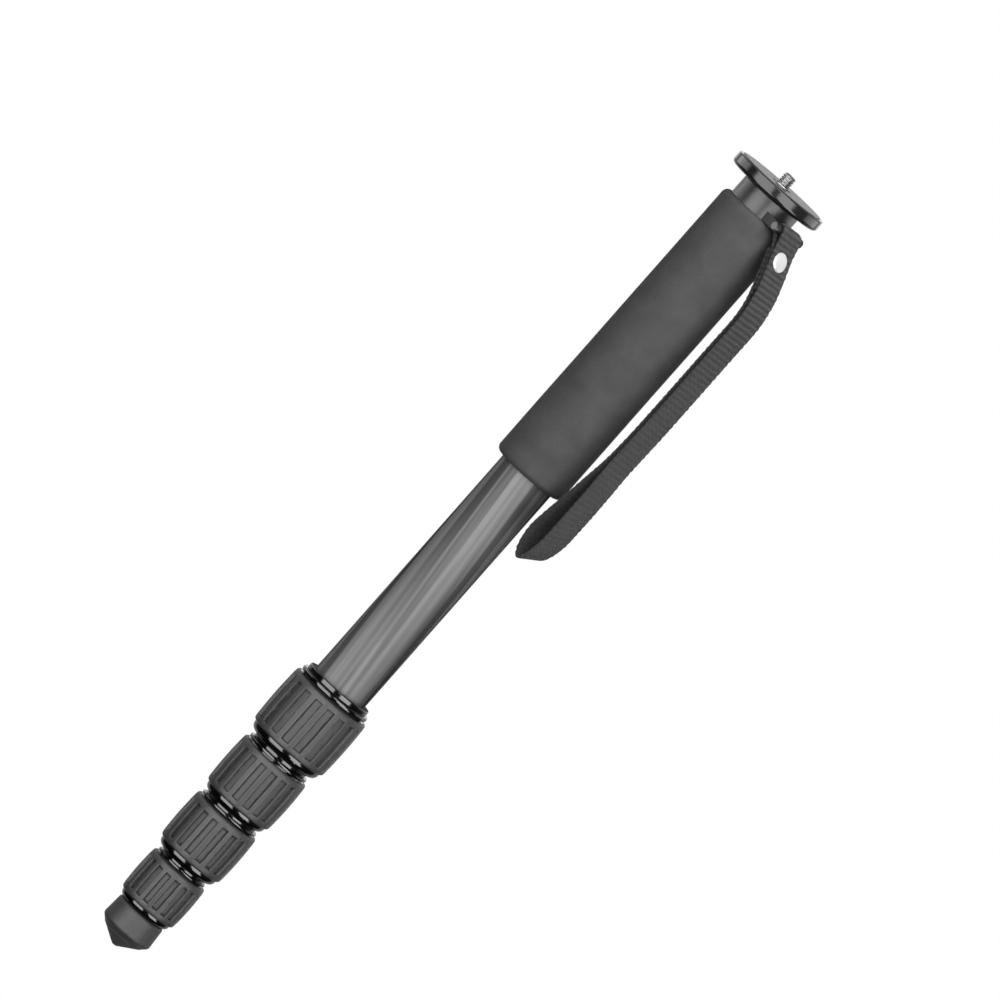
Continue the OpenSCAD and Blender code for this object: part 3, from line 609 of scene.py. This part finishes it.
rib_pitch, rib_rise = 0.0026, 0.0002
web_columns, web_rows = 16, 1240
back_face = 0.1
loop_skew = 20
web = bmesh.new()
bmesh.ops.create_grid(web, x_segments=web_columns, y_segments=web_rows, size=0.5)
bmesh.ops.solidify(web, geom=web.faces[:], thickness=0.001)
web_uv = web.loops.layers.uv.verify()
heights = [vertex.co.z for vertex in web.verts]
split = (min(heights) + max(heights)) / 2
step = 0
# The flat strip's points are taken from its one end to the other and laid along the line.
for vertex in sorted(web.verts, key=lambda vertex: vertex.co.y):
    along, share = (vertex.co.y + 0.5) * travel[-1], 2 * vertex.co.x
    face = 1 if vertex.co.z > split else -1
    for corner in vertex.link_loops:
        corner[web_uv].uv = (share * web_width / 2 + (0 if face == 1 else back_face), along)
    while step < len(travel) - 2 and travel[step + 1] < along:
        step += 1
    part = (along - travel[step]) / (travel[step + 1] - travel[step])
    x, z = line[step].lerp(line[step + 1], part)
    before, after = max(step - 1, 0), min(step + 2, len(line) - 1)
    course = (line[step + 1] - line[before]).normalized().lerp(
        (line[after] - line[step]).normalized(), part)
    outward = Vector((-course.y, course.x)).normalized()
    bow = (0.6 * share * share + 0.5 * math.sin(along * 71)
           + 0.35 * math.sin(along * 193 + 4 * share))
    rib = (math.sin(math.tau * along / rib_pitch + bow) * (1 - share ** 8)
           * ramp(z, -0.11, 0.07, 0.3))
    lift = face * (web_thick / 2 * (1 - 0.45 * share ** 10) + rib_rise * rib)
    gathered = 1 - 0.04 * ramp(z, -0.016, 0.012)
    uneven = math.sin(math.tau * along / rib_pitch + 0.6) + 0.7 * math.sin(along * 1733)
    width = web_width / 2 * gathered * (1 + 0.018 * uneven)
    skew = math.tan(math.radians(loop_skew * ramp(-z, 0.140, 0.038)))
    vertex.co = pin + Vector((x + outward.x * lift, share * width,
                              z + outward.y * lift + share * skew * width))
bmesh.ops.recalc_face_normals(web, faces=web.faces)
strap = make("webbing", web)
strap.data.shade_smooth()
bevelled(strap, 0.00025, 50)
webbing = Finish("webbing", Specular_IOR_Level=0.15, Sheen_Weight=0.1, Sheen_Roughness=0.5)
laid = webbing.point.node("ShaderNodeUVMap", {"uv_map": strap.data.uv_layers[0].name})
crosswise, lengthwise = (laid.node("ShaderNodeSeparateXYZ", None, {"Vector": laid}, out)
                         for out in range(2))
warp = webbing.grain(220, 2, point=laid)
fuzz = webbing.grain(1800, 4)
ribs_weaker_lower = webbing.z.fade(0.33, 0.40, 0.3, 1.0)
# The strap's inner face is painted darker: painted shade between the two strands.
inner_face_shade = crosswise.fade(0.4 * back_face, 0.6 * back_face)
# The ribs' colour is painted shade: lighter on the rib tops and darker in the grooves, weaker
# lower down the strap.
ribs = (lengthwise * (math.tau / rib_pitch) + 1.2 * (warp - 0.5)).sin() * ribs_weaker_lower
yarns = (crosswise * (math.tau / 0.0011)).sin() * (lengthwise * (math.tau / 0.0009)).sin()
weave_and_groove_shade = 0.058 + 0.026 * ribs + 0.01 * yarns + 0.03 * (warp - 0.5) + 0.05 * (fuzz - 0.5)
strap.data.materials.append(webbing.feed(
    colour=weave_and_groove_shade * (1 - 0.55 * inner_face_shade), rough=0.8 + 0.1 * warp,
    relief=ribs + 0.5 * yarns + 1.6 * fuzz, depth=0.0003))
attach(strap, "strap")
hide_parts("wrist_strap")

# The rivet: a domed nickel cap on the strap's outer face, clenched over a flat cap behind it.
# Both are tumbled; their near-white, mostly diffuse colour is a painted reflection in place of
# the nickel's mirror shine.
nickel = Finish("nickel", Metallic=0.1, Specular_IOR_Level=0.2)
haze = nickel.grain(1500, 3)
rivet_painted_shine = nickel.feed(colour=0.78 + 0.1 * haze, rough=0.25 + 0.12 * haze, relief=haze,
                         depth=0.000006)
dress("rivet_cap", rivet_painted_shine)
dress("rivet_back", rivet_painted_shine)
